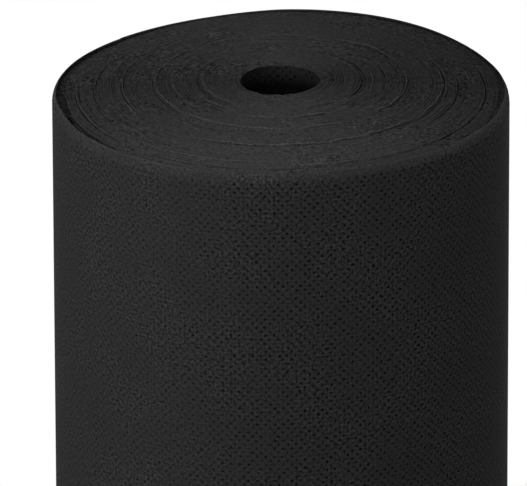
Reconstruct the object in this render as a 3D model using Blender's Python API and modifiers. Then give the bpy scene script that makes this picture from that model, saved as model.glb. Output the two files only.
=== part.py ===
"""A roll of black spunbond landscape fabric, standing on one end.

The web is wound on a paper core, anticlockwise as seen from above, and its free end is taped down at
the back. The core's axis is Z and the roll stands on Z = 0. One modelled turn of the web stands for
several real ones. The free end is modelled as leaves that hinge on upright axes, so it can be peeled
off the roll until it lies straight.
"""

import math

import bmesh
import bpy
from mathutils import Matrix, Vector

# The roll, in metres
web_width = 0.600
roll_radius = 0.095
turns = 23
ply = 0.0006
turn_gap = 0.0006
steps_per_turn = 36

# The core, and the tape that holds the start of the web to it
core_bore_radius = 0.013
core_wall = 0.0025
core_setback = 0.025
core_steps = 40
start_tape_width = 0.012
start_tape_setback = 0.010
start_tape_steps = 6
film = 0.0002

# The end faces: all the turns but the last have slid up the roll, those in the middle furthest. The
# last one stays down, which leaves a groove inside the rim, and the roll stands on it.
shoulder_slide = 0.0025
groove_share = 0.945
groove_ramp = 0.001
centre_slide = 0.006
level_ring_share = 0.84
ripple = 0.0005
ripple_pitch = 0.0047

# The outermost turn, which has slid up a little and whose top edge is drawn inwards
outer_steps_per_turn = 72
rim_slide = 0.003
curl_radius = 0.003
curl_angle = math.radians(65)
curl_steps = 4

# The free end
tail_angle = math.radians(135)
tail_leaves = 3
leaf_steps = 6
hinge_gap = 0.0005

# The strips of tape over the free end
closing_tape_width = 0.024
closing_tape_lap = 0.018
closing_tape_reach = 0.020
closing_tape_inset = 0.055
closing_tape_steps = 6
closing_film = 0.0003

# The gap that touching pieces keep, the distance within which a turned seam closes, the side of the
# flat grid that a sheet is bent from, and the angle between faces that show as an edge
seat_gap = 0.0003
weld_distance = 0.00001
grid_side = 1.0
edge_angle = math.radians(40)

core_outer_radius = core_bore_radius + core_wall
web_start_radius = core_outer_radius + seat_gap + film + seat_gap
turn_pitch = (roll_radius - web_start_radius - ply - 2 * (ply + turn_gap)) / (turns - 1)
bundle = turn_pitch - turn_gap
level_radius = level_ring_share * roll_radius
groove_radius = groove_share * roll_radius
tail_end = turns + 1
leaf_turns = leaf_steps / outer_steps_per_turn
tail_start = tail_end - tail_leaves * leaf_turns
curl_length = curl_radius * curl_angle
standing_turn = turns - 1 / 2


def thickness(turn):
    """The web's thickness: a single ply at both ends, and a bundle of plies between them."""
    grown = max(0.0, min(1.0, turn, turns - turn))
    return ply + (bundle - ply) * grown


def inner_radius(turn):
    """The radius of the web's inner side, where each turn lies on the one below it."""
    if turn < 1:
        return web_start_radius + (ply + turn_gap) * turn
    return inner_radius(turn - 1) + thickness(turn - 1) + turn_gap


def angle_of(turn):
    """The polar angle of a place along the web, which ends at the tail's angle."""
    return tail_angle + 2 * math.pi * (turn - tail_end)


def turns_over(length, radius):
    """A length along the web as a share of a turn."""
    return length / (2 * math.pi * radius)


def slide(radius):
    """How far the turn at this radius has slid up the roll."""
    inward = max(0.0, 1 - (radius / level_radius) ** 2)
    dome = inward * (centre_slide + ripple * math.sin(2 * math.pi * radius / ripple_pitch))
    return dome + shoulder_slide * max(0.0, min(1.0, (groove_radius - radius) / groove_ramp))


def spaced(first, last, steps):
    """Evenly spaced values from the first to the last."""
    return [first + (last - first) * step / steps for step in range(steps + 1)]


def finish(obj, name, colour, roughness):
    """A plain material of the piece's own."""
    material = bpy.data.materials.new(name)
    material.use_nodes = True
    shader = material.node_tree.nodes["Principled BSDF"]
    shader.inputs["Base Color"].default_value = (*colour, 1)
    shader.inputs["Roughness"].default_value = roughness
    shader.inputs["Metallic"].default_value = 0
    obj.data.materials.append(material)


def new_object(name, mesh, collection):
    obj = bpy.data.objects.new(name, mesh)
    collection.objects.link(obj)
    return obj


def sheet(name, stations, rows, thick, collection):
    """A strip of web or tape bent round the roll and thickened outwards.

    A station is (inner radius, polar angle, slide up the roll, share of the full thickness), and a row
    is (inset towards the axis, height).
    """
    bm = bmesh.new()
    columns, lines = len(stations) - 1, len(rows) - 1
    bmesh.ops.create_grid(bm, x_segments=columns, y_segments=lines, size=grid_side / 2)
    shares = []
    for vert in bm.verts:
        across, up = vert.co.x / grid_side + 1 / 2, vert.co.y / grid_side + 1 / 2
        radius, angle, slid, share = stations[round(across * columns)]
        inset, height = rows[round(up * lines)]
        reach = radius - inset
        vert.co = (reach * math.cos(angle), reach * math.sin(angle), height + slid)
        shares.append(share)
    mesh = bpy.data.meshes.new(name)
    bm.to_mesh(mesh)
    bm.free()
    mesh.shade_smooth()
    mesh.set_sharp_from_angle(angle=edge_angle)
    obj = new_object(name, mesh, collection)
    group = obj.vertex_groups.new(name="thickness")
    for index, share in enumerate(shares):
        group.add([index], share, "REPLACE")
    wall = obj.modifiers.new("thickness", "SOLIDIFY")
    wall.thickness = thick
    wall.offset = 1
    wall.vertex_group = group.name
    return obj


def put_origin(obj, origin, parent=None):
    """Moves an object's origin to a point, with its shape left where it was, and parents it."""
    if obj.data:
        obj.data.transform(Matrix.Translation(-origin))
    obj.location = origin
    if parent:
        bpy.context.view_layer.update()
        obj.parent = parent
        obj.matrix_parent_inverse = parent.matrix_world.inverted()


def core_tube(collection):
    """The paper core: a turned tube that stops short of both mouths of the bore."""
    low = slide(web_start_radius) + core_setback
    high = low + web_width - 2 * core_setback
    profile = [
        (core_outer_radius, high),
        (core_outer_radius, low),
        (core_bore_radius, low),
        (core_bore_radius, high),
    ]
    mesh = bpy.data.meshes.new("core_tube")
    edges = [(corner, (corner + 1) % len(profile)) for corner in range(len(profile))]
    mesh.from_pydata([(radius, 0, height) for radius, height in profile], edges, [])
    obj = new_object("core_tube", mesh, collection)
    turned = obj.modifiers.new("turned", "SCREW")
    turned.angle = 2 * math.pi
    turned.steps = turned.render_steps = core_steps
    turned.use_merge_vertices = True
    turned.merge_threshold = weld_distance
    finish(obj, "core_paper", (0.36, 0.25, 0.15), 0.85)
    return low, high


def start_tape(collection, core_low, core_high):
    """The strip of tape under the start of the web, along the core."""
    radius = core_outer_radius + seat_gap
    first = angle_of(0)
    last = first + start_tape_width / radius
    stations = [(radius, angle, 0, 1) for angle in spaced(first, last, start_tape_steps)]
    rows = [(0, core_low + start_tape_setback), (0, core_high - start_tape_setback)]
    obj = sheet("start_tape", stations, rows, film, collection)
    finish(obj, "start_tape_film", (0.62, 0.55, 0.38), 0.45)


def wound_web(collection):
    """The web from its start on the core to the outermost turn: one unbroken spiral."""
    stations = [
        (inner_radius(turn), angle_of(turn), slide(inner_radius(turn)), thickness(turn) / bundle)
        for turn in spaced(0, turns, turns * steps_per_turn)
    ]
    obj = sheet("wound_web", stations, [(0, 0), (0, web_width)], bundle, collection)
    finish(obj, "wound_fabric", (0.030, 0.030, 0.031), 0.85)
    return obj


def rim_rows():
    """The rows across the outermost turn: straight up, then round the edge that is drawn inwards."""
    straight = rim_slide + web_width - curl_length
    rows = [(0, rim_slide)]
    for bend in spaced(0, curl_angle, curl_steps):
        rows.append((curl_radius * (1 - math.cos(bend)), straight + curl_radius * math.sin(bend)))
    return rows


def outer_ply(name, first, last, steps, collection):
    """A stretch of the outermost turn, one ply thick."""
    stations = [(inner_radius(turn), angle_of(turn), 0, 1) for turn in spaced(first, last, steps)]
    obj = sheet(name, stations, rim_rows(), ply, collection)
    finish(obj, name + "_fabric", (0.030, 0.030, 0.031), 0.85)
    return obj


def outer_turn(collection):
    """The outermost turn, up to the first hinge of the free end."""
    first = turns + turns_over(seat_gap, inner_radius(turns))
    last = tail_start - turns_over(hinge_gap / 2, roll_radius)
    steps = round((tail_start - turns) * outer_steps_per_turn)
    outer_ply("outer_turn", first, last, steps, collection)


def hinge_place(turn):
    """The foot of a hinge's axis, in the middle of the ply."""
    radius, angle = inner_radius(turn) + ply / 2, angle_of(turn)
    return Vector((radius * math.cos(angle), radius * math.sin(angle), rim_slide))


def tail(collection):
    """The leaves of the free end, each hinged on the one before it. It returns the last hinge."""
    hinge = None
    for leaf in range(tail_leaves):
        turn = tail_start + leaf * leaf_turns
        place = hinge_place(turn)
        new_hinge = new_object(f"tail_hinge_{leaf + 1}", None, collection)
        new_hinge.empty_display_size = closing_tape_width
        put_origin(new_hinge, place, hinge)
        hinge = new_hinge
        half_gap = turns_over(hinge_gap / 2, roll_radius)
        last = turn + leaf_turns - (half_gap if leaf + 1 < tail_leaves else 0)
        obj = outer_ply(f"tail_leaf_{leaf + 1}", turn + half_gap, last, leaf_steps, collection)
        put_origin(obj, place, hinge)
        print(f"hinge {leaf + 1} at", [round(c, 6) for c in place])
    return hinge


def closing_tapes(collection, hinge):
    """Strips of tape over the cut edge of the free end, which leave with its last leaf."""
    first = -closing_tape_lap / roll_radius
    last = closing_tape_reach / roll_radius
    half_step = (last - first) / closing_tape_steps / 2
    radius = (roll_radius + seat_gap) / math.cos(half_step)
    angles = spaced(tail_angle + first, tail_angle + last, closing_tape_steps)
    stations = [(radius, angle, 0, 1) for angle in angles]
    low = rim_slide + closing_tape_inset
    high = rim_slide + web_width - closing_tape_inset
    for name, middle in (("bottom", low), ("middle", (low + high) / 2), ("top", high)):
        rows = [(0, middle - closing_tape_width / 2), (0, middle + closing_tape_width / 2)]
        obj = sheet("closing_tape_" + name, stations, rows, closing_film, collection)
        finish(obj, f"closing_tape_{name}_film", (0.045, 0.045, 0.048), 0.35)
        bpy.context.view_layer.update()
        put_origin(obj, hinge.matrix_world.translation.copy(), hinge)


def distance_to_side(point, start, end):
    """The distance from a point to the straight side between two points."""
    side = end - start
    along = max(0.0, min(1.0, (point - start).dot(side) / side.length_squared))
    return (point - start - side * along).length


def least_gap(web):
    """The least distance from the outside of one turn to the inside of the next, at the web's foot."""
    evaluated = web.evaluated_get(bpy.context.evaluated_depsgraph_get())
    foot = [vert.co.to_2d() for vert in evaluated.data.vertices if vert.co.z < web_width / 2]
    outside, inside = foot[: len(foot) // 2], foot[len(foot) // 2 :]
    gaps = []
    for here, corner in enumerate(outside[:-steps_per_turn]):
        above = here + steps_per_turn
        for neighbour in (above - 1, above + 1):
            if neighbour < len(inside):
                gaps.append(distance_to_side(corner, inside[neighbour], inside[above]))
    return min(gaps)


def main():
    for obj in list(bpy.data.objects):
        bpy.data.objects.remove(obj)
    collection = bpy.data.collections.new("landscape_fabric_roll")
    bpy.context.scene.collection.children.link(collection)
    core_low, core_high = core_tube(collection)
    start_tape(collection, core_low, core_high)
    web = wound_web(collection)
    outer_turn(collection)
    closing_tapes(collection, tail(collection))
    print(f"least gap between turns {least_gap(web) * 1000:.3f} mm")
    radius = inner_radius(standing_turn) + thickness(standing_turn) / 2
    angle = angle_of(standing_turn)
    print("the roll stands on", round(radius * math.cos(angle), 6), round(radius * math.sin(angle), 6))


main()
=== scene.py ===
# %% [markdown]
# # A roll of landscape fabric
#
# Black spunbond cloth, 0.6 m wide and 50 m long, is wound on a paper core and stands on its end.
# Nearly all that the eye sees is the edge of one very long strip, wound 140 times, and the embossed
# outside of its last turn. So the strip is modelled as what it is: cut flat, then wound.

import math

import bpy
import numpy as np
from mathutils import Matrix, Vector


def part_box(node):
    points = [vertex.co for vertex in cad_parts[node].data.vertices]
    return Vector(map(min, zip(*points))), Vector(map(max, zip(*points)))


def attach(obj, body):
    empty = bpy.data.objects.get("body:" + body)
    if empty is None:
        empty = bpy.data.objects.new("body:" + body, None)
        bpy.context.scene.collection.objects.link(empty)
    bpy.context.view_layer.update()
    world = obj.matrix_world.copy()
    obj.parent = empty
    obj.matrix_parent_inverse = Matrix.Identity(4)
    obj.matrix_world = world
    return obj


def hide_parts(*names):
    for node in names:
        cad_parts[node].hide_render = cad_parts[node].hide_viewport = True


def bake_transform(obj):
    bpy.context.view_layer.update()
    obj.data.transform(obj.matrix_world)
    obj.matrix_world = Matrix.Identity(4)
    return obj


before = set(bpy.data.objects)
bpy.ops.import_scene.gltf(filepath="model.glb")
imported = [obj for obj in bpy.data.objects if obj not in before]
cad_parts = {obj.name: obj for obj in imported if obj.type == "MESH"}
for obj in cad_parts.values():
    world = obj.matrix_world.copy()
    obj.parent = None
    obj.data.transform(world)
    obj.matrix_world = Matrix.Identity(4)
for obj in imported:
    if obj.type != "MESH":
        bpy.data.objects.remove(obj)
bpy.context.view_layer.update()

# %% Sizes that the cloth, the core and the tapes share, in metres
web_width = 0.600
web_length = 50.0
roll_radius = 0.095
outer_ply = 0.0004
wound_ply = 0.00046
web_start_radius = 0.0163
web_end_radius = 0.0940
tail_radius = 0.0944
tail_angle = math.radians(135)
rim_slide = 0.003

outer_turn_length = math.pi * (web_end_radius + tail_radius)
wound_length = web_length - outer_turn_length
turn_pitch = math.pi * (web_end_radius**2 - web_start_radius**2) / wound_length
wound_turns = (web_end_radius - web_start_radius) / turn_pitch
print(f"{wound_turns:.1f} turns, {turn_pitch * 1000:.3f} mm from one to the next")

# %% [markdown]
# ## The camera
#
# The photograph was taken from far off with a long lens: the roll's sides hardly converge. The
# camera stands 22 degrees above the end face and looks at it from 4.8 m, so that the near and far
# edges of the end face have the curves that the photograph shows.

# %% Stand the camera in front of the roll and above it
image_width = 527
sensor_width = 36.0
focal_pixels = 11662
camera_distance = 4.819
camera_elevation = math.radians(22.048)
camera_pitch = math.radians(22.775)
camera_roll = math.radians(-0.176)
camera_offset = -0.00725
aim_height = 0.6025

camera_data = bpy.data.cameras.new("photo_camera")
camera_data.sensor_width = sensor_width
camera_data.lens = focal_pixels * sensor_width / image_width
camera_data.clip_end = 100
camera = bpy.data.objects.new("photo_camera", camera_data)
bpy.context.scene.collection.objects.link(camera)
camera.location = (
    camera_offset,
    -camera_distance * math.cos(camera_elevation),
    aim_height + camera_distance * math.sin(camera_elevation),
)
upright = Matrix.Rotation(math.pi / 2 - camera_pitch, 3, "X")
camera.rotation_euler = (upright @ Matrix.Rotation(camera_roll, 3, "Z")).to_euler()
bpy.context.scene.camera = camera
print(f"lens {camera_data.lens:.0f} mm, camera at", [round(c, 3) for c in camera.location])

# %% [markdown]
# ## Finishes
#
# Spunbond is a felt of fine polypropylene threads, pressed between hot rollers that weld it in small
# points. A picture of such cloth would repeat, and go soft from near by, so its finish is built from
# nodes. What several materials use, such as the felt of threads, is a node group of its own.


# %% A helper that wires shader nodes
def wired(tree, kind, inputs=None, **settings):
    """A new node with its settings made and its inputs set, or wired where a socket is given."""
    node = tree.nodes.new(kind)
    for name, value in settings.items():
        setattr(node, name, value)
    for name, value in (inputs or {}).items():
        if isinstance(value, bpy.types.NodeSocket):
            tree.links.new(value, node.inputs[name])
        else:
            node.inputs[name].default_value = value
    return node


# %% Helpers for the sums that a material does
def maths(tree, operation, first, second=None, third=None):
    """The result of a Math node."""
    given = {0: first, 1: second, 2: third}
    given = {place: value for place, value in given.items() if value is not None}
    return wired(tree, "ShaderNodeMath", given, operation=operation).outputs[0]


def product(tree, first, *others):
    """Values multiplied together."""
    for other in others:
        first = maths(tree, "MULTIPLY", first, other)
    return first


def straight(tree, value, slope, start):
    """A value times a slope, plus a start."""
    return maths(tree, "MULTIPLY_ADD", value, slope, start)


def ramp(tree, value, low, high, first=0.0, last=1.0, kind="SMOOTHSTEP"):
    """A step from the first result, at the low value, to the last, at the high one."""
    limits = {"Value": value, "From Min": low, "From Max": high, "To Min": first, "To Max": last}
    return wired(tree, "ShaderNodeMapRange", limits, interpolation_type=kind).outputs[0]


def vector_maths(tree, operation, first, second=None):
    """The outputs of a Vector Math node: the first is a vector, and the one called Value a number."""
    given = {0: first} if second is None else {0: first, 1: second}
    return wired(tree, "ShaderNodeVectorMath", given, operation=operation).outputs


# %% Helpers for places on a surface, and for what changes from place to place
def object_place(tree):
    """Where a point of the surface is, in metres."""
    return wired(tree, "ShaderNodeTexCoord").outputs["Object"]


def parts_of(tree, place):
    """The three parts of a place."""
    return wired(tree, "ShaderNodeSeparateXYZ", {0: place}).outputs


def noise(tree, place, scale, detail):
    """A value near 0.5 that drifts up and down about as many times to the metre as the scale says."""
    given = {"Vector": place, "Scale": scale, "Detail": detail}
    return wired(tree, "ShaderNodeTexNoise", given).outputs["Fac"]


# %% Helpers for node groups
def new_group(name, inputs, outputs):
    """An empty shader node group, with its sockets and the nodes that stand for them."""
    tree = bpy.data.node_groups.new(name, "ShaderNodeTree")
    for socket, kind in inputs.items():
        tree.interface.new_socket(socket, in_out="INPUT", socket_type="NodeSocket" + kind)
    for socket in outputs:
        tree.interface.new_socket(socket, in_out="OUTPUT", socket_type="NodeSocketFloat")
    return tree, tree.nodes.new("NodeGroupInput").outputs, tree.nodes.new("NodeGroupOutput").inputs


def placed(tree, group, **inputs):
    """A node group placed in a material, with its inputs set or wired."""
    given = {name.replace("_", " "): value for name, value in inputs.items()}
    return wired(tree, "ShaderNodeGroup", given, node_tree=group).outputs


# %% [markdown]
# ## The welded points
#
# A welded point is a dark, slightly shiny pit, and the points stand in rows at 45 degrees. They
# could be modelled, but the strip has over four million. So the sum and the difference of a place's
# two measures count the rows both ways, and the fractions left over say how near the next pit is.
# The places come from the cloth's own UV map, laid out in metres along and across the strip, so the
# rows run round the roll and over its rim as the real ones do.

# %% The welded points
# How far the rows stray, as a share of their spacing, how many times to the metre they do so, and
# where a pit's slope begins and ends, as shares of its size
row_wander = 0.5
row_wander_scale = 420
pit_middle, pit_brim = 0.55, 1.35


def welded_points_group():
    """A square lattice of pits, turned 45 degrees. Depth is 1 in the middle of a pit and 0 between."""
    sockets = {"Cloth": "Vector", "Spacing": "Float", "Pit share": "Float"}
    tree, given, result = new_group("welded_points", sockets, ["Depth"])
    along, across, _ = parts_of(tree, given["Cloth"])
    shake = straight(tree, noise(tree, given["Cloth"], row_wander_scale, 1), row_wander, -row_wander / 2)
    powers = []
    for operation in ("ADD", "SUBTRACT"):
        rows = maths(tree, "DIVIDE", maths(tree, operation, along, across), given["Spacing"])
        left_over = maths(tree, "FRACT", maths(tree, "ADD", rows, shake))
        offset = maths(tree, "ABSOLUTE", maths(tree, "SUBTRACT", left_over, 0.5))
        powers.append(maths(tree, "POWER", offset, 3.0))
    reach = maths(tree, "POWER", maths(tree, "ADD", *powers), 1 / 3)
    reach = maths(tree, "DIVIDE", reach, given["Pit share"])
    pit = ramp(tree, reach, pit_middle, pit_brim, first=1.0, last=0.0, kind="SMOOTHERSTEP")
    tree.links.new(pit, result["Depth"])
    return tree


welded_points = welded_points_group()
print(welded_points.name, "has", len(welded_points.nodes), "nodes")

# %% [markdown]
# ## Threads, painted light and painted sheen
#
# The felt is noise drawn out into short streaks and laid crosswise over itself, which is how threads
# look from a little way off. Light is painted onto the roll's end, paler in front and on the left. Its
# threads lie along the turns, as the grooves of a record do, and a painted sheen makes the end lighter
# where they run from left to right than where they run to and fro. Anisotropic gloss could do that,
# but on a cloth so dark and matt it is hardly seen, so the sheen is painted, as part of the value
# that multiplies the colour.

# %% The felt of threads
thread_ways = (0.5, 2.1)
thread_stretch = (1, 5, 2)


def felt_group():
    """Fine matted threads: a value near 0.5 that varies along short streaks, two ways crossed."""
    tree, given, result = new_group("felt", {"Place": "Vector", "Threads per metre": "Float"}, ["Value"])
    streaks = []
    for turned in thread_ways:
        drawn_out = {"Vector": given["Place"], "Rotation": (0, 0, turned), "Scale": thread_stretch}
        lay = wired(tree, "ShaderNodeMapping", drawn_out).outputs[0]
        grain = {"Vector": lay, "Scale": given["Threads per metre"], "Detail": 3, "Distortion": 0.6}
        streaks.append(wired(tree, "ShaderNodeTexNoise", grain).outputs["Fac"])
    tree.links.new(product(tree, maths(tree, "ADD", *streaks), 0.5), result["Value"])
    return tree


felt = felt_group()
print(felt.name, "has", len(felt.nodes), "nodes")

# %% The painted light and the painted sheen of the end
# The painted light grows by the metre, towards -X and -Y. The painted sheen is fullest where a line
# from the axis points the sheen's way, or the opposite way.
painted_light_slope = (-0.906, -1.62, 0)
sheen_way = (0.292, -0.956, 0)
sheen_rise = 0.26
sheen_least = 0.743


def levelled(tree, place):
    """A place with its height taken away."""
    return vector_maths(tree, "MULTIPLY", place, (1, 1, 0))[0]


def end_shade_group():
    """Painted light towards the front left, and painted sheen where the threads cross the sheen's way."""
    tree, given, result = new_group("painted_end_light_and_sheen", {"Place": "Vector"}, ["Light"])
    # Painted light: lighter by the metre towards the front left
    painted_end_light = vector_maths(tree, "DOT_PRODUCT", given["Place"], painted_light_slope)["Value"]
    outwards = vector_maths(tree, "NORMALIZE", levelled(tree, given["Place"]))[0]
    # Painted sheen: fullest where a line from the axis runs the sheen's way
    lay = vector_maths(tree, "DOT_PRODUCT", outwards, sheen_way)["Value"]
    lay = maths(tree, "POWER", maths(tree, "ABSOLUTE", lay), 2.0)
    sheen = straight(tree, lay, sheen_rise, sheen_least)
    tree.links.new(maths(tree, "ADD", painted_end_light, sheen), result["Light"])
    return tree


# A group of painted light and painted sheen, which multiplies the end's colour
painted_end_light_and_sheen = end_shade_group()
print(painted_end_light_and_sheen.name, "has", len(painted_end_light_and_sheen.nodes), "nodes")

# %% [markdown]
# ## The cloth
#
# One black all over would look like plastic sheet. So the cloth's light is added up from what the
# real one has: threads, loose tufts, cloudy patches and dark pits, partly painted shade. Its outside is
# smooth where it bends over. Round the back and the left its pits are painted faint, as painted light.
# Inside the roll, the tops of the turns are frayed, proud turns are worn pale and carry a painted
# highlight, and painted shade makes the bore darker downwards and on its left.


# %% Helpers that start a material, paint it and raise its surface
def principled(name, colour, roughness, specular=0.5):
    """A new material, its node tree and its shader, with the plain values set."""
    material = bpy.data.materials.new(name)
    material.use_nodes = True
    shader = material.node_tree.nodes["Principled BSDF"]
    shader.inputs["Base Color"].default_value = (*colour, 1)
    shader.inputs["Roughness"].default_value = roughness
    shader.inputs["Specular IOR Level"].default_value = specular
    return material, material.node_tree, shader


def paint(tree, shader, colour, light):
    """Gives the surface a colour that is lighter or darker from place to place."""
    tree.links.new(vector_maths(tree, "MULTIPLY", colour, light)[0], shader.inputs["Base Color"])


def raise_surface(tree, shader, height, distance, strength):
    """Lets a value stand out of the surface, as far as the distance where it is 1."""
    given = {"Height": height, "Distance": distance, "Strength": strength}
    tree.links.new(wired(tree, "ShaderNodeBump", given).outputs[0], shader.inputs["Normal"])


# %% How deep the points are pressed
fabric_colour = (0.0255, 0.0255, 0.0258)
point_spacing = 0.003585
pit_share = 0.205

# Two places along the cloth, in metres. Up to the first, from the back round the left side, the
# outermost turn's pits are painted faint and its cloth lighter, which is painted light. From the
# second, which faces the camera, the pits are stronger and the cloth a little darker.
painted_light_places = (wound_length + 0.16, wound_length + 0.23)


def near_edge(tree, across, start, end, first=0.0, last=1.0):
    """A soft step between two distances from the cloth's top edge."""
    return ramp(tree, across, web_width - start, web_width - end, first, last)


def pressed_pits(tree, cloth, patches, outside):
    """The pits: uneven everywhere, and none on the outside where the cloth bends over."""
    along, across, _ = parts_of(tree, cloth)
    pits = placed(tree, welded_points, Cloth=cloth, Spacing=point_spacing, Pit_share=pit_share)["Depth"]
    unevenly = ramp(tree, noise(tree, cloth, scale=230, detail=2), 0.36, 0.62, first=0.45, last=1.15)
    if not outside:
        broadly = ramp(tree, noise(tree, cloth, scale=110, detail=1), 0.46, 0.54)
        return product(tree, pits, unevenly, broadly)
    unbent = near_edge(tree, across, start=0.0050, end=0.0032, first=1.0, last=0.0)
    # Painted light: the pits fade round the back and the left; the patches vary them everywhere
    pressing_and_painted_light = ramp(tree, along, *painted_light_places, first=0.4, last=0.85)
    pressing_and_painted_light = maths(tree, "ADD", pressing_and_painted_light, product(tree, patches, 0.3))
    return product(tree, pits, unevenly, unbent, pressing_and_painted_light)


# %% How light the cloth is, and what wear, painted light and painted shade do to it
# In metres. The cloth's first turns are the bore's wall, and the bore's painted shade fades out
# between these two places along the cloth. The painted shade lightens the wall from left to right,
# between these two on X.
bore_turns = (0.10, 0.45)
bore_sides = (-0.016, 0.006)


def cloth_light(tree, cloth, patches, threads, pits):
    """Threads and tufts, wilder in some patches than in others, and dark pits, partly painted shade."""
    light = straight(tree, threads, 2.2, -0.17)
    tufts = maths(tree, "SUBTRACT", noise(tree, cloth, scale=900, detail=1), 0.5)
    tufts = product(tree, tufts, ramp(tree, patches, 0.40, 0.58, first=1.1, last=2.7))
    light = maths(tree, "ADD", light, tufts)
    light = maths(tree, "ADD", light, straight(tree, patches, 0.3, -0.08))
    # The pits are darker: partly the welded points' own colour, partly painted shade in their hollows
    return product(tree, light, straight(tree, pits, -0.72, 1.0))


def outside_wear_and_painted_light(tree, cloth, patches):
    """Three shares of the light: rim worn pale, frayed edge, and painted light, darker facing the camera.
    """
    along, across, _ = parts_of(tree, cloth)
    worn = product(tree, near_edge(tree, across, start=0.0060, end=0.0010), patches)
    frayed = near_edge(tree, across, start=0.0018, end=0.0004)
    # Painted light: the cloth is a little darker on the side facing the camera
    side = ramp(tree, along, *painted_light_places, first=1.0, last=0.87)
    return straight(tree, worn, 0.4, 1.0), straight(tree, frayed, 0.25, 1.0), side


def inside_wear_and_painted_light(tree, cloth):
    """Three shares of the light: frayed tops and worn proud turns with a painted highlight, painted
    shade in the bore, darker low down and on its left, and the end's painted light and sheen.
    """
    along, across, _ = parts_of(tree, cloth)
    # Painted highlight: proud turns are painted paler near their tops, as well as worn
    rubbed_and_painted_highlight = wired(tree, "ShaderNodeAttribute", attribute_name="rubbed_and_painted_highlight").outputs["Fac"]
    loose_and_painted_highlight = product(tree, rubbed_and_painted_highlight, near_edge(tree, across, start=0.002, end=0.0))
    frayed = near_edge(tree, across, start=0.0008, end=0.0001)
    pale = maths(tree, "ADD", product(tree, loose_and_painted_highlight, 0.6), straight(tree, frayed, 1.2, 1.0))
    place = object_place(tree)
    # Painted shade: the bore's wall is painted darker low down and lighter from left to right
    painted_side_light = ramp(tree, parts_of(tree, place)[0], *bore_sides, first=0.50, last=1.05)
    painted_depth_shade = product(tree, painted_side_light, near_edge(tree, across, start=0.010, end=0.002, first=0.14, last=0.78))
    bore = maths(tree, "SUBTRACT", 1.0, ramp(tree, along, *bore_turns))
    shade = straight(tree, maths(tree, "SUBTRACT", painted_depth_shade, 1.0), bore, 1.0)
    return pale, shade, placed(tree, painted_end_light_and_sheen, Place=place)["Light"]


# %% The cloth's two materials
def spunbond_material(name, outside):
    """The face that the roll shows outside, or the faces inside it."""
    material, tree, shader = principled(name, fabric_colour, roughness=0.75, specular=0.005)
    cloth = wired(tree, "ShaderNodeUVMap", uv_map="cloth").outputs[0]
    patches = noise(tree, cloth, scale=30, detail=2)
    threads = placed(tree, felt, Place=cloth, Threads_per_metre=900.0)["Value"]
    pits = pressed_pits(tree, cloth, patches, outside)
    light = cloth_light(tree, cloth, patches, threads, pits)
    # Wear, with painted light and painted shade
    wear_and_painted_light = outside_wear_and_painted_light(tree, cloth, patches) if outside else inside_wear_and_painted_light(tree, cloth)
    paint(tree, shader, fabric_colour, product(tree, light, *wear_and_painted_light))
    tree.links.new(straight(tree, pits, -0.22, 0.72), shader.inputs["Roughness"])
    height = maths(tree, "ADD", product(tree, pits, -1.0), product(tree, threads, 0.35))
    raise_surface(tree, shader, height, distance=0.0003, strength=1.0)
    return material


spunbond = spunbond_material("black_spunbond", outside=False)
outside_spunbond = spunbond_material("black_spunbond_outside", outside=True)
for finish in (spunbond, outside_spunbond):
    print(finish.name, "has", len(finish.node_tree.nodes), "nodes")

# %% [markdown]
# ## The cut edge
#
# What the end of the roll shows is the cloth's cut edge, 140 times over. Its threads are cut square,
# so it is paler and rougher than the cloth's faces, and it has no pits. It could share the faces'
# material, but its place on the UV map hardly changes across so thin an edge, and the threads would
# smear into stripes. So it reads Object coordinates.

# %% The cut edge of the cloth, which the end faces are made of
edge_colour = (0.0345, 0.0345, 0.0348)
# Between these radii the cut edge is painted a little darker: painted shade near the rim
painted_shade_band = (0.0855, 0.0890)


def cut_edge_material():
    """Threads cut square: matt and mottled, paler on worn proud turns with a painted highlight, with the
    end's painted light and sheen, and painted shade a little darker near the rim.
    """
    material, tree, shader = principled("cut_spunbond_edge", edge_colour, roughness=0.8, specular=0.005)
    place = object_place(tree)
    threads = placed(tree, felt, Place=place, Threads_per_metre=650.0)["Value"]
    patches = noise(tree, place, scale=48, detail=2)
    clumps = maths(tree, "SUBTRACT", noise(tree, place, scale=620, detail=2), 0.5)
    clumps = product(tree, clumps, ramp(tree, patches, 0.42, 0.60, first=1.5, last=4.3))
    light = maths(tree, "ADD", straight(tree, threads, 0.9, 0.55), clumps)
    # Painted highlight: proud turns are paler, as well as worn
    rubbed_and_painted_highlight = wired(tree, "ShaderNodeAttribute", attribute_name="rubbed_and_painted_highlight").outputs["Fac"]
    # Painted light and painted sheen of the end
    painted_end_light = placed(tree, painted_end_light_and_sheen, Place=place)["Light"]
    radius = vector_maths(tree, "LENGTH", levelled(tree, place))["Value"]
    # Painted shade: a little darker near the rim
    painted_rim_shade = ramp(tree, radius, *painted_shade_band, first=1.0, last=0.88)
    paint(tree, shader, edge_colour, product(tree, light, straight(tree, rubbed_and_painted_highlight, 0.6, 1.0), painted_end_light, painted_rim_shade))
    raise_surface(tree, shader, threads, distance=0.0002, strength=0.8)
    return material


cut_edge = cut_edge_material()
print(cut_edge.name, "has", len(cut_edge.node_tree.nodes), "nodes")

# %% [markdown]
# ## The wound web
#
# A spiral could be drawn as a few thick rings, but then the end face looks turned on a lathe. Here
# the strip is cut flat at its real length and wound at its real pitch. It is made as a grid, given a
# UV map in metres, and its points are moved onto the spiral. Nothing may be longer than 30 m, so it
# is cut in three stretches that follow each other without a gap.


# %% Helpers: selection and points
def select_nothing():
    """Leaves edit mode and deselects all, because an operator acts on everything that is selected."""
    if bpy.context.object and bpy.context.object.mode != "OBJECT":
        bpy.ops.object.mode_set(mode="OBJECT")
    bpy.ops.object.select_all(action="DESELECT")


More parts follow.
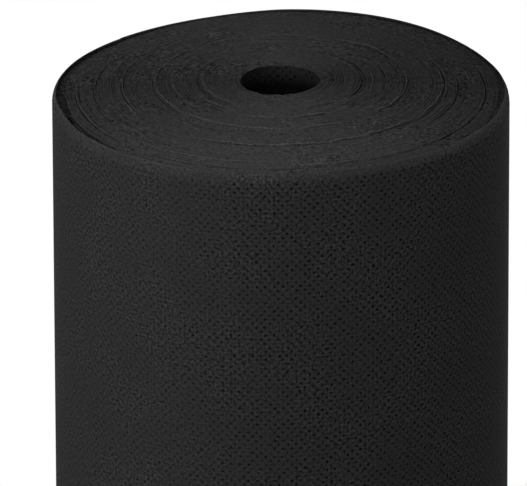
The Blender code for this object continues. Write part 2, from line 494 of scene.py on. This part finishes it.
def points_of(piece):
    """A mesh's points, a row of X, Y and Z for each."""
    flat = np.empty(3 * len(piece.data.vertices))
    piece.data.vertices.foreach_get("co", flat)
    return flat.reshape(-1, 3)


def move_points(piece, points):
    """Puts a mesh's points at new places, given in the same rows."""
    piece.data.vertices.foreach_set("co", np.ascontiguousarray(points).ravel())
    piece.data.update()


# %% Helpers: wandering values, the same in each run because their seeds are fixed
line_knots = 8192
sheet_knots = 512


def smooth(share):
    """0 below 0, 1 above 1, and a soft step between."""
    share = np.clip(share, 0, 1)
    return share * share * (3 - 2 * share)


def wander(places, spacing, seed):
    """A value that drifts between -1 and 1 as its place changes, much the same within one spacing."""
    knots = np.random.default_rng(seed).uniform(-1, 1, line_knots)
    steps = np.asarray(places) / spacing
    before = np.floor(steps).astype(int)
    share = smooth(steps - before)
    return knots[before % line_knots] * (1 - share) + knots[(before + 1) % line_knots] * share


def mottle(x, y, spacing, seed):
    """The same over a surface. Its grid is turned by the angle whose cosine is 0.8 and sine 0.6."""
    knots = np.random.default_rng(seed).uniform(-1, 1, (sheet_knots, sheet_knots))
    columns, rows = (0.8 * x + 0.6 * y) / spacing, (0.8 * y - 0.6 * x) / spacing
    left, below = np.floor(columns).astype(int), np.floor(rows).astype(int)
    across, up = smooth(columns - left), smooth(rows - below)
    left, right = left % sheet_knots, (left + 1) % sheet_knots
    below, above = below % sheet_knots, (below + 1) % sheet_knots
    lower = knots[left, below] * (1 - across) + knots[right, below] * across
    upper = knots[left, above] * (1 - across) + knots[right, above] * across
    return lower * (1 - up) + upper * up


# %% Cut a flat strip of cloth
def flat_strip(name, start, length, rows, columns, finishes):
    """A strip laid flat from X = 0, with rows at the given heights and its UV map in metres."""
    select_nothing()
    bpy.ops.mesh.primitive_grid_add(x_subdivisions=columns, y_subdivisions=len(rows) - 1, size=1)
    strip = bpy.context.object
    strip.name = strip.data.name = name
    points = points_of(strip)
    points[:, 0] = (points[:, 0] + 0.5) * length
    line = np.rint((points[:, 1] + 0.5) * (len(rows) - 1)).astype(int)
    points[:, 1] = np.asarray(rows)[line]
    move_points(strip, points)
    corner = np.empty(len(strip.data.loops), dtype=np.int32)
    strip.data.loops.foreach_get("vertex_index", corner)
    layer = strip.data.uv_layers.active or strip.data.uv_layers.new()
    layer.name = "cloth"
    layer.data.foreach_set("uv", (points[corner, :2] + (start, 0)).ravel())
    for finish in finishes:
        strip.data.materials.append(finish)
    return strip, points[:, 0] + start, points[:, 1], line


def thicken(strip, thickness):
    """Gives the cloth its thickness outwards. The first finish is the outer face's, the second the cut
    edges', and the third, if there is one, the inner face's."""
    wall = strip.modifiers.new("thickness", "SOLIDIFY")
    wall.thickness = thickness
    wall.offset = 1
    wall.material_offset = 2 if len(strip.data.materials) > 2 else 0
    wall.material_offset_rim = 1
    select_nothing()
    strip.select_set(True)
    bpy.context.view_layer.objects.active = strip
    bpy.ops.object.modifier_apply(modifier=wall.name)
    bpy.ops.object.shade_smooth_by_angle(angle=math.radians(35))
    return strip


# %% [markdown]
# ## How far each turn has slid
#
# The end face isn't flat. All the turns but the last few have slid up the roll, those in the middle
# furthest, which makes it slightly domed and leaves a dark groove inside the rim. Single turns stand
# a little proud for part of the way round. Those are the thin rings that catch the light.

# %% Where the turns stand, from the widest movement to the finest
shoulder_slide = 0.0025
dome_rise = 0.0068
dome_power = 3.2
groove_ramp = 0.0006
centre_slide = 0.006
last_turns_tighter = 0.0001
level_radius = 0.84 * roll_radius
groove_radius = 0.945 * roll_radius

# %% The groove and the rim, by their place round the roll
# By compass place in degrees (-90 faces the camera): the groove's width, and the radius that the rim
# of the outermost turn bends on, in millimetres. Where the groove has no width, the rim lies closed.
groove_widths = (
    (-180, 3.8), (-170, 2.8), (-162, 2.0), (-154, 1.8), (-146, 0.9), (-138, 0.7), (-130, 0.6), (-118, 0.4),
    (-112, 0.0), (-23, 0.0), (-18, 0.7), (-12, 1.4), (-6, 1.8), (5, 1.8), (14, 1.2), (25, 1.1), (45, 2.0),
    (60, 3.4), (120, 3.2), (136, 4.9), (148, 4.5), (160, 3.7), (172, 3.2), (180, 3.8),
)
rim_bends = (
    (-180, 1.9), (-175, 2.3), (-170, 3.2), (-162, 3.6), (-154, 3.7), (-146, 4.4), (-130, 4.8), (-110, 5.1),
    (-70, 5.1), (-42, 3.9), (-18, 3.8), (-12, 3.7), (-6, 3.6), (0, 3.1), (6, 2.0), (180, 1.9),
)

# How far round the rim is bent, in degrees, and how much further it has slid than at the sides, in
# millimetres. At the back the rim stands nearly straight, and at the front it stands highest.
rim_turns = ((-180, 76), (-8, 76), (10, 60), (25, 30), (40, 20), (140, 20), (160, 45), (172, 65), (180, 76))
rim_rises = (
    (-180, 0.0), (-175, 0.2), (-170, 0.5), (-162, 0.7), (-154, 1.1), (-146, 1.8), (-130, 2.6), (-112, 2.9),
    (-70, 3.0), (-42, 2.3), (-24, 1.9), (-12, 1.1), (-6, 0.8), (0, 0.4), (6, 0.1), (15, -0.1), (23, -1.0),
    (38, -1.1), (49, -0.9), (75, -0.7), (90, -0.5), (98, -0.75), (107, -1.0), (131, -0.9), (145, -0.75),
    (165, -0.2), (180, 0.0),
)

# How high the turns in the groove stand above the cloth's own width, in millimetres
groove_floors = (
    (-180, -1.6), (-165, -0.7), (-140, -0.8), (-112, 0.0), (-25, 2.6), (-12, 2.4), (-4, 1.5), (12, 1.2),
    (30, 1.1), (60, 0.3), (140, -0.3), (165, 0.0), (180, -1.6),
)

# How far the turns beside the groove lie below the others, in millimetres
groove_dips = ((-180, 0.2), (-165, 0.0), (-20, 0.0), (0, 0.2), (25, 0.9), (150, 0.9), (180, 0.2))

# %% The waves of the end, and the turns that stand proud
# Long waves of the end face: how many to a turn, compass place of a crest, height in millimetres
end_waves = ((1, 13, 0.55), (2, 84, 0.36), (3, 60, 0.78))

# Turns that stand proud, or low: share of the roll's radius, compass place of the middle of the arc,
# share of a turn that it covers, how many turns lie side by side, and height in millimetres
proud_arcs = (
    (0.330, -160, 0.24, 3, 0.5),
    (0.352, -160, 0.24, 2, -0.9),
    (0.345, -65, 0.12, 2, -0.7),
    (0.348, -3, 0.18, 4, -1.3),
    (0.340, 40, 0.12, 1, 0.7),
    (0.360, 42, 0.17, 2, -1.4),
    (0.395, -140, 0.10, 1, 0.8),
    (0.395, 2, 0.10, 1, 0.6),
    (0.427, -86, 0.18, 1, 0.8),
    (0.453, 4, 0.14, 1, -0.9),
    (0.460, 4, 0.12, 1, 0.5),
    (0.470, -165, 0.10, 1, 0.6),
    (0.536, -135, 0.12, 1, -0.6),
    (0.545, -120, 0.46, 1, 0.85),
    (0.547, -15, 0.18, 1, 0.8),
    (0.553, -165, 0.14, 1, -0.8),
    (0.545, 38, 0.16, 1, 0.8),
    (0.528, 98, 0.14, 1, -0.6),
    (0.536, 100, 0.18, 1, 0.6),
    (0.545, 158, 0.16, 1, 0.9),
    (0.655, 142, 0.08, 1, -0.9),
    (0.668, 155, 0.08, 1, -1.0),
    (0.682, 170, 0.09, 1, -1.1),
    (0.690, 165, 0.10, 1, 0.7),
    (0.677, -168, 0.09, 1, -0.6),
    (0.684, -168, 0.10, 1, 0.6),
    (0.692, -168, 0.10, 1, -0.7),
    (0.702, -165, 0.11, 1, 0.5),
    (0.702, -80, 0.30, 1, 0.9),
    (0.703, -8, 0.16, 1, 0.8),
    (0.709, -58, 0.34, 1, -0.8),
    (0.713, 18, 0.20, 1, -0.9),
    (0.720, 12, 0.20, 1, 0.7),
    (0.728, 4, 0.14, 1, -0.6),
    (0.767, -15, 0.14, 1, -1.1),
    (0.745, -163, 0.08, 1, 0.4),
    (0.773, -152, 0.08, 1, -0.7),
    (0.785, 150, 0.08, 1, -0.7),
    (0.800, 168, 0.09, 1, -0.8),
    (0.812, -172, 0.07, 1, -0.7),
    (0.822, -152, 0.09, 1, -0.8),
    (0.845, -108, 0.20, 1, 0.5),
    (0.852, -168, 0.06, 1, -0.6),
    (0.876, -166, 0.11, 1, -0.8),
    (0.885, -166, 0.12, 1, 0.6),
    (0.885, -70, 0.16, 1, 0.5),
    (0.893, -160, 0.15, 1, -1.0),
    (0.896, -85, 0.32, 2, -1.5),
    (0.892, -10, 0.24, 1, -1.2),
)


# %% The slow shape of the end: its dome, its waves, and the turns that stand proud
def slide(radius):
    """The slow rise towards the middle."""
    return shoulder_slide + dome_rise * (1 - (radius / roll_radius) ** dome_power)


def sway(radius, angle):
    """The roll's end isn't level: long waves run round it, and fade towards the middle."""
    height = sum(mm / 1000 * np.cos(count * (angle - math.radians(top))) for count, top, mm in end_waves)
    return height * (radius / roll_radius) ** 2


def proud(turn):
    """The arcs that stand proud, or sit low where the height is less than nothing."""
    height = np.zeros_like(turn)
    for share, compass, cover, turns, millimetres in proud_arcs:
        nearest = (share * roll_radius - web_start_radius) / turn_pitch
        phase = (math.radians(compass) - tail_angle) / (2 * math.pi) + wound_turns
        for beside in range(turns):
            middle = phase + round(nearest - phase) + beside
            height += millimetres / 1000 * smooth((cover / 2 - np.abs(turn - middle)) / (cover / 4))
    return height


# %% The rim of the outermost turn
# How far the rim strays from its tables: the radius of its bend in metres, and its turn in degrees
bend_wander = 0.0002
turn_wander = 4


def by_compass(table, angle):
    """A value in metres read from a table of compass places and millimetres."""
    compass = (np.degrees(angle) + 180) % 360 - 180
    return np.interp(compass, *zip(*table)) / 1000


def rim_bend(angle):
    """The radius that the rim bends on, and how far round it bends."""
    bend = by_compass(rim_bends, angle) + bend_wander * wander(angle, spacing=0.35, seed=31)
    degrees = 1000 * by_compass(rim_turns, angle) + turn_wander * wander(angle, spacing=0.22, seed=32)
    return bend, np.radians(degrees)


def rim_height(angle):
    """How far the outermost turn has slid up, at its top."""
    return rim_slide + by_compass(rim_rises, angle) + sway(roll_radius, angle)


# %% The turns beside the groove and under the rim
# In metres: the groove's width at which the rim no longer counts as closed, the band beside the
# groove that lies low, how far inside a closed rim the turns begin to be held down and over what
# width, the gaps that are kept free beside the rim and below it, and a height above everything
closed_width = 0.0006
dip_width = 0.005
held_from = 0.0035
held_over = 0.0032
gap_beside = 0.0001
gap_below = 0.0002
nothing_above = 1.0


def beside_groove(radius, angle, edge):
    """How far the turns beside the groove have slid back down, at the back of the roll."""
    return by_compass(groove_dips, angle) * smooth((radius - edge + dip_width) / dip_width)


def under_rim(radius, angle):
    """The height that the bent rim leaves free beneath it. Inside its edge nothing is in the way."""
    bend, full = rim_bend(angle)
    inset = np.clip(web_end_radius - radius - wound_ply - gap_beside, 0, None)
    turned = np.arccos(np.clip(1 - inset / bend, -1, 1))
    free = rim_height(angle) + bend * (np.sin(np.minimum(turned, full)) - full) - gap_below
    return np.where(turned < full, free, nothing_above)


def at_rim(radius, angle, top):
    """The turns by the rim: kept under its edge where it is closed, and sunk in the groove elsewhere."""
    bend, full = rim_bend(angle)
    edge_radius = web_end_radius - bend * (1 - np.cos(full))
    edge_height = rim_height(angle) - bend * (full - np.sin(full))
    width = by_compass(groove_widths, angle)
    closed = 1 - smooth(width / closed_width)
    under = closed * smooth((radius - edge_radius + held_from) / held_over)
    top = top * (1 - under) + np.minimum(top, edge_height - gap_beside) * under
    edge = edge_radius + closed_width * closed - width
    top = top - beside_groove(radius, angle, edge)
    calm = smooth((edge - radius) / groove_ramp)
    top = calm * top + (1 - calm) * by_compass(groove_floors, angle)
    return np.minimum(top, under_rim(radius, angle)), calm


# %% The other end, and the small movements
def foot_height(radius, along):
    """The other end face. The roll stands on the feet of the turns that haven't slid."""
    dome = centre_slide * np.clip(1 - (radius / level_radius) ** 2, 0, None)
    slid = dome + shoulder_slide * smooth((groove_radius - radius) / groove_ramp)
    return slid + np.abs(0.00015 * wander(along, spacing=0.0052, seed=17))


def unevenness(radius, angle, along, turn):
    """Small movements: of bands of turns, of each turn as it goes round, and of a tuft of threads.
    Each is a reach in metres times a wandering value."""
    bands = 0.00008 * wander(radius, spacing=0.0016, seed=11)
    bands = bands + 0.00014 * wander(radius, spacing=0.0055, seed=12)
    drift = 0.00010 * wander(turn, spacing=0.25, seed=13)
    dashes = 0.00030 * wander(along, spacing=0.0085, seed=18)
    dashes = dashes * smooth(0.5 + wander(turn, spacing=0.11, seed=19))
    arcs = 0.00031 * wander(along, spacing=0.03, seed=23) * np.cos(angle) ** 4
    x, y = radius * np.cos(angle), radius * np.sin(angle)
    tufts = 0.00016 * mottle(x, y, spacing=0.0013, seed=15)
    tufts = tufts + 0.00012 * mottle(x, y, spacing=0.0042, seed=16)
    specks = 0.00007 * wander(along, spacing=0.0032, seed=14)
    return bands + drift + dashes + arcs + tufts + specks


# %% Wind the strip in three stretches
# In metres: the length of a column of faces, the height of the row of faces at the cut edge, and how
# far a turn stands proud where its threads are fully rubbed and its painted highlight is full
column_length = 0.0016
top_strip = 0.002
fully_rubbed_and_highlighted = 0.001


def wind(name, start, length):
    """A stretch of the web, wound anticlockwise from its start. Its last two rows are at its top."""
    columns = round(length / column_length)
    rows = (0, web_width - top_strip, web_width)
    strip, along, height, line = flat_strip(name, start, length, rows, columns, (spunbond, cut_edge))
    radius = np.sqrt(web_start_radius**2 + turn_pitch * along / math.pi)
    turn = (radius - web_start_radius) / turn_pitch
    radius = radius - last_turns_tighter * smooth((turn - wound_turns + 5) / 5)
    angle = tail_angle + 2 * math.pi * (turn - wound_turns)
    standing = proud(turn) * (0.85 + 0.45 * wander(along, spacing=0.0065, seed=24))
    top = slide(radius) + sway(radius, angle) + standing + unevenness(radius, angle, along, turn)
    top, calm = at_rim(radius, angle, top)
    height += np.where(line > 0, top, foot_height(radius, along))
    height += np.where(line == 2, 0.00007 * wander(along, spacing=0.0019, seed=22), 0)
    radius = radius + np.where(line == 2, 0.00004 * wander(along, spacing=0.012, seed=21), 0)
    move_points(strip, np.stack([radius * np.cos(angle), radius * np.sin(angle), height], axis=1))
    # Proud turns are worn pale and carry a painted highlight, the more the prouder they stand
    rubbed_and_painted_highlight = strip.data.attributes.new("rubbed_and_painted_highlight", "FLOAT", "POINT")
    rubbed_and_painted_highlight.data.foreach_set("value", np.clip(calm * standing / fully_rubbed_and_highlighted, 0, 1).astype(np.float32))
    return thicken(strip, wound_ply)


stretches = []
stretch_length = wound_length / 3
for number, name in enumerate(("web_first_stretch", "web_second_stretch", "web_last_stretch")):
    stretches.append(wind(name, number * stretch_length, stretch_length))
    print(name, len(stretches[-1].data.polygons), "faces")

# %% [markdown]
# ## The outermost turn and its rim
#
# The last turn has slid up a little further than the groove inside it, and its top edge is drawn
# inwards in a soft round shoulder. It is the same flat strip, laid once round the roll, with close
# rows where the edge bends. The bend is fuller towards the front, as the photograph shows.

# %% Lay the cloth once round the roll, with its rim drawn inwards
# Wide rows from the foot nearly to the top, then close ones where the cloth bends
full_turn = 2 * math.pi
straight_rows = np.linspace(0, web_width - 0.012, 50)
bending_rows = np.linspace(web_width - 0.0105, web_width, 16)
outer_column_length = 0.003


def rim_shape(angle, across):
    """How far the cloth is drawn in, and how high it stands, at each place across it."""
    bend, full = rim_bend(angle)
    unbent = web_width - bend * full
    turned = np.clip((across - unbent) / bend, 0, None)
    inward = bend * (1 - np.cos(turned))
    height = np.minimum(across, unbent) + bend * np.sin(turned)
    lifted = rim_slide + (rim_height(angle) - rim_slide) * smooth(across / web_width)
    return inward, lifted + height


def outer_cloth(name, first, last):
    """The outermost turn between two angles, counted from where it starts."""
    start, end = (angle / full_turn * outer_turn_length for angle in (first, last))
    rows = [*straight_rows, *bending_rows]
    columns = max(8, round((end - start) / outer_column_length))
    finishes = (outside_spunbond, cut_edge, spunbond)
    strip, along, across, _ = flat_strip(name, wound_length + start, end - start, rows, columns, finishes)
    turned = (along - wound_length) / outer_turn_length
    angle = tail_angle + full_turn * (turned - 1)
    inward, height = rim_shape(angle, across)
    soft = 0.00012 * wander(angle, spacing=0.5, seed=33) * wander(across, spacing=0.07, seed=34)
    radius = web_end_radius + (tail_radius - web_end_radius) * turned + np.abs(soft) - inward
    move_points(strip, np.stack([radius * np.cos(angle), radius * np.sin(angle), height], axis=1))
    return thicken(strip, outer_ply)


# %% Cut it into stretches that end in the middle of the free end's leaves
hinge_angles = [math.radians(degrees) for degrees in (270, 300, 330)]
half_leaf = math.radians(15)
cuts = (0, hinge_angles[0] - half_leaf, hinge_angles[0] + half_leaf, hinge_angles[1] + half_leaf, full_turn)
outer_names = ("outer_turn_cloth", "tail_root_cloth", "tail_middle_cloth", "tail_end_cloth")
outer_pieces = []
for name, first, last in zip(outer_names, cuts[:-1], cuts[1:]):
    outer_pieces.append(outer_cloth(name, first, last))
    print(name, len(outer_pieces[-1].data.polygons), "faces")

# %% Measure where each finish lies at half height: the outer face's is the furthest out
middle_height = [p for p in outer_pieces[0].data.polygons if 0.29 < p.center.z < 0.31]
for finish in range(3):
    reach = [math.hypot(p.center.x, p.center.y) for p in middle_height if p.material_index == finish]
    print("finish", finish, f"{len(reach)} faces at {sum(reach) / max(1, len(reach)) * 1000:.2f} mm")

# %% [markdown]
# ## The closing tapes
#
# Three short strips of black film tape hold the free end down at the back. Each lies on the tail,
# steps down over its cut edge and sticks to the turn below. Its ends are torn on a toothed blade.


# %% The film's material
def film_material(name, colour, roughness, grain_scale, rough_slope, rough_start):
    """Film tape: smooth, with a gloss that varies a little. Its grain is handed back as well."""
    material, tree, shader = principled(name, colour, roughness)
    grain = noise(tree, object_place(tree), grain_scale, detail=2)
    tree.links.new(straight(tree, grain, rough_slope, rough_start), shader.inputs["Roughness"])
    return material, tree, shader, grain


black_film, tree, shader, grain = film_material(
    "black_film_tape", (0.028, 0.028, 0.030), 0.32, grain_scale=700, rough_slope=0.2, rough_start=0.24
)
raise_surface(tree, shader, grain, distance=0.00003, strength=0.6)
print(black_film.name, "has", len(tree.nodes), "nodes")

# %% Tape over the cut edge of the free end
# In metres: the tape reaches from its lap on the tail, over the tail's edge, to the turn below, with
# a lift above the roll's side. It steps down over the step's length, from a little before the edge.
tape_width = 0.024
tape_lap = 0.018
tape_reach = 0.020
tape_film = 0.00016
tape_lift = 0.00012
tooth = 0.002
tooth_depth = 0.0007
step_lead = 0.0002
step_length = 0.0026


def closing_tape(name, middle):
    """A strip of tape, bent over the roll and the tail's edge."""
    select_nothing()
    bpy.ops.mesh.primitive_grid_add(x_subdivisions=60, y_subdivisions=24, size=1)
    tape = bpy.context.object
    tape.name = tape.data.name = name
    points = points_of(tape)
    across = points[:, 1] * tape_width
    along = (points[:, 0] + 0.5) * (tape_lap + tape_reach) - tape_lap
    teeth = tooth_depth * np.abs(((across / tooth) % 1) - 0.5) * 2
    torn = np.abs(points[:, 0]) > 0.499
    along -= np.where(torn, np.sign(points[:, 0]) * teeth, 0)
    step = outer_ply * 2 * smooth((along + step_lead) / step_length)
    rumple = 0.00008 * wander(along + across * 0.4, spacing=0.004, seed=41)
    rumple = rumple * wander(across, spacing=0.006, seed=42)
    radius = roll_radius + tape_lift - step + np.abs(rumple)
    angle = tail_angle + along / roll_radius
    move_points(tape, np.stack([radius * np.cos(angle), radius * np.sin(angle), middle + across], axis=1))
    tape.data.materials.append(black_film)
    wall = tape.modifiers.new("film", "SOLIDIFY")
    wall.thickness = tape_film
    wall.offset = 1
    bpy.ops.object.modifier_apply(modifier=wall.name)
    bpy.ops.object.shade_smooth_by_angle(angle=math.radians(35))
    return tape


tapes = []
tape_places = ("bottom", "middle", "top")
for place in tape_places:
    low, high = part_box("closing_tape_" + place)
    tapes.append(closing_tape(f"closing_tape_{place}_strip", (low[2] + high[2]) / 2))
    print(tapes[-1].name, len(tapes[-1].data.polygons), "faces")

# %% [markdown]
# ## The paper core
#
# The core is a tube of brown paper, wound on a slant, set back inside the bore. Only its ends and
# its bore show, from above and below. A cylinder without ends gets its wall and a small bevel, and
# the slanting seams are in its material.

# %% The core
core_low, core_high = (Vector(corner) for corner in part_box("core_tube"))
core_radius = (core_high.x - core_low.x) / 2
core_wall = 0.0025
core_edge = 0.0004
select_nothing()
bpy.ops.mesh.primitive_cylinder_add(
    vertices=96,
    radius=core_radius,
    depth=core_high.z - core_low.z,
    end_fill_type="NOTHING",
    location=(0, 0, (core_low.z + core_high.z) / 2),
)
core = bpy.context.object
core.name = core.data.name = "paper_core"
bpy.ops.object.transform_apply(location=True, rotation=True, scale=True)
wall = core.modifiers.new("wall", "SOLIDIFY")
wall.thickness = core_wall
wall.offset = -1
bpy.ops.object.modifier_apply(modifier=wall.name)
soft_edge = core.modifiers.new("soft_edge", "BEVEL")
soft_edge.width = core_edge
soft_edge.segments = 3
soft_edge.limit_method = "ANGLE"
bpy.ops.object.modifier_apply(modifier=soft_edge.name)
bpy.ops.object.shade_smooth_by_angle(angle=math.radians(35))
print(f"core {2000 * core_radius:.1f} mm wide, {len(core.data.polygons)} faces")

# %% The core's paper
paper_colour = (0.36, 0.25, 0.15)
seam_pitch = 0.075
seam_share = 0.012


def paper_material():
    """Brown paper: slanting seams between the strips, a turn to each pitch, and short fibres."""
    material, tree, shader = principled("brown_core_paper", paper_colour, roughness=0.85, specular=0.3)
    place = object_place(tree)
    x, y, z = parts_of(tree, place)
    turned = maths(tree, "DIVIDE", maths(tree, "ARCTAN2", y, x), 2 * math.pi)
    seam = maths(tree, "FRACT", maths(tree, "ADD", turned, maths(tree, "DIVIDE", z, seam_pitch)))
    from_seam = maths(tree, "ABSOLUTE", maths(tree, "SUBTRACT", seam, 0.5))
    groove = ramp(tree, from_seam, 0.0, seam_share, first=1.0, last=0.0, kind="LINEAR")
    fibres = placed(tree, felt, Place=place, Threads_per_metre=500.0)["Value"]
    light = product(tree, straight(tree, fibres, 0.7, 0.65), straight(tree, groove, -0.6, 1.0))
    paint(tree, shader, paper_colour, light)
    height = maths(tree, "SUBTRACT", product(tree, fibres, 0.3), groove)
    raise_surface(tree, shader, height, distance=0.0003, strength=0.7)
    return material


core.data.materials.append(paper_material())
print(core.data.materials[0].name, "has", len(core.data.materials[0].node_tree.nodes), "nodes")

# %% [markdown]
# ## The tape under the start of the web
#
# A strip of pale film tape fixes the start of the web to the core. The web covers it, so it could be
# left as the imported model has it, but the model is also looked at from inside and taken apart. Its
# own shape is right already, and only gets a film's finish.

# %% A finish for the tape under the start
pale_film = film_material(
    "pale_film_tape", (0.62, 0.55, 0.38), 0.4, grain_scale=500, rough_slope=0.25, rough_start=0.28
)[0]
start_tape = bpy.data.objects["start_tape"]
for slot in start_tape.material_slots:
    slot.material = pale_film
print(start_tape.name, "in", pale_film.name)

# %% [markdown]
# ## Bodies
#
# The wound web, the first piece of the outermost turn, the tapes and the core ride on bodies of the
# imported model. The free end's three stretches each cross one hinge and meet in the middle of a leaf;
# their places are baked into their points.


for stretch in stretches:
    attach(stretch, "roll")
    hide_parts("wound_web")
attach(outer_pieces[0], "roll")
bodies = ("roll", "tail_1", "tail_2", "tail_3")
for piece, before, after, hinge in zip(outer_pieces[1:], bodies, bodies[1:], hinge_angles):
    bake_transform(piece)
replaced = ("outer_turn", "tail_leaf_1", "tail_leaf_2", "tail_leaf_3")
for piece, node in zip(outer_pieces, replaced):
    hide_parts(node)
for tape, place in zip(tapes, tape_places):
    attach(tape, "tail_3")
    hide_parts("closing_tape_" + place)
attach(core, "roll")
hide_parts("core_tube")
print(len(replaced), "pieces of the outermost turn,", len(tapes), "tapes and the core are on their bodies")

# %% Print the length of each stretch of cloth
laid_on = ["paper_core", *[stretch.name for stretch in stretches]]
for stretch, under in zip(stretches, laid_on):
    print(stretch.name, f"{wound_length / 3:.2f} m long")

# %% [markdown]
# ## Floor and light
#
# The floor and the air are white for the camera, by Light Path, so that no extra light is needed to
# make them so. Near the roll the floor is a plain pale surface that keeps the roll's shadow.


# %% What the camera sees of the room
def camera_sees_white(tree):
    """1 for rays from the camera and in reflections, 0 for the light that falls on things."""
    path = wired(tree, "ShaderNodeLightPath").outputs
    seen = maths(tree, "MAXIMUM", path["Is Camera Ray"], path["Is Glossy Ray"])
    return maths(tree, "MAXIMUM", seen, path["Is Transmission Ray"])


# %% Floor
floor_size = 14
pale_within = 0.35
white_beyond = 0.95


def floor_material():
    """A pale floor near the roll, which turns white for the camera further away."""
    material, tree, shader = principled("pale_floor", (0.72, 0.72, 0.72), roughness=0.9, specular=0.2)
    white = wired(tree, "ShaderNodeEmission", {"Color": (1, 1, 1, 1), "Strength": 1.0}).outputs[0]
    away = vector_maths(tree, "LENGTH", object_place(tree))["Value"]
    share = product(tree, ramp(tree, away, pale_within, white_beyond), camera_sees_white(tree))
    mixed = wired(tree, "ShaderNodeMixShader", {0: share, 1: shader.outputs[0], 2: white})
    tree.links.new(mixed.outputs[0], tree.nodes["Material Output"].inputs["Surface"])
    return material


select_nothing()
bpy.ops.mesh.primitive_plane_add(size=floor_size, location=(0, 0, 0))
floor = bpy.context.object
floor.name = "floor"
floor.data.materials.append(floor_material())
print("floor", floor_size, "m wide, white beyond", white_beyond, "m")

# %% The light of the room
room_level = 0.47
world = bpy.data.worlds.new("soft_room")
bpy.context.scene.world = world
world.use_nodes = True
air = world.node_tree
strength = straight(air, camera_sees_white(air), 1 - room_level, room_level)
air.nodes["Background"].inputs["Color"].default_value = (1, 1, 1, 1)
air.links.new(strength, air.nodes["Background"].inputs["Strength"])
print("room light", room_level)

# %% Three soft lamps
# Compass place and elevation in degrees, distance, width and height in metres, and power in watts:
# one above the camera, a tall one close by on the left, and a faint one far behind
lamps = (
    ("front_lamp", -108, 40, 0.95, 0.6, 0.6, 4.7),
    ("left_lamp", -158, 2, 0.8, 0.4, 1.0, 2.3),
    ("back_lamp", 38, 24, 3.0, 1.2, 1.2, 11.0),
)
for name, compass, elevation, distance, width, height, watts in lamps:
    lamp_data = bpy.data.lights.new(name, "AREA")
    lamp_data.shape = "RECTANGLE"
    lamp_data.size = width
    lamp_data.size_y = height
    lamp_data.energy = watts
    lamp = bpy.data.objects.new(name, lamp_data)
    bpy.context.scene.collection.objects.link(lamp)
    raised, turned = math.radians(elevation), math.radians(compass)
    level = math.cos(raised)
    towards = Vector((level * math.cos(turned), level * math.sin(turned), math.sin(raised)))
    lamp.location = Vector((0, 0, web_width)) + distance * towards
    lamp.rotation_euler = towards.to_track_quat("Z", "Y").to_euler()
    print(name, watts, "W at", [round(c, 2) for c in lamp.location])
bpy.context.scene.view_settings.view_transform = "Standard"
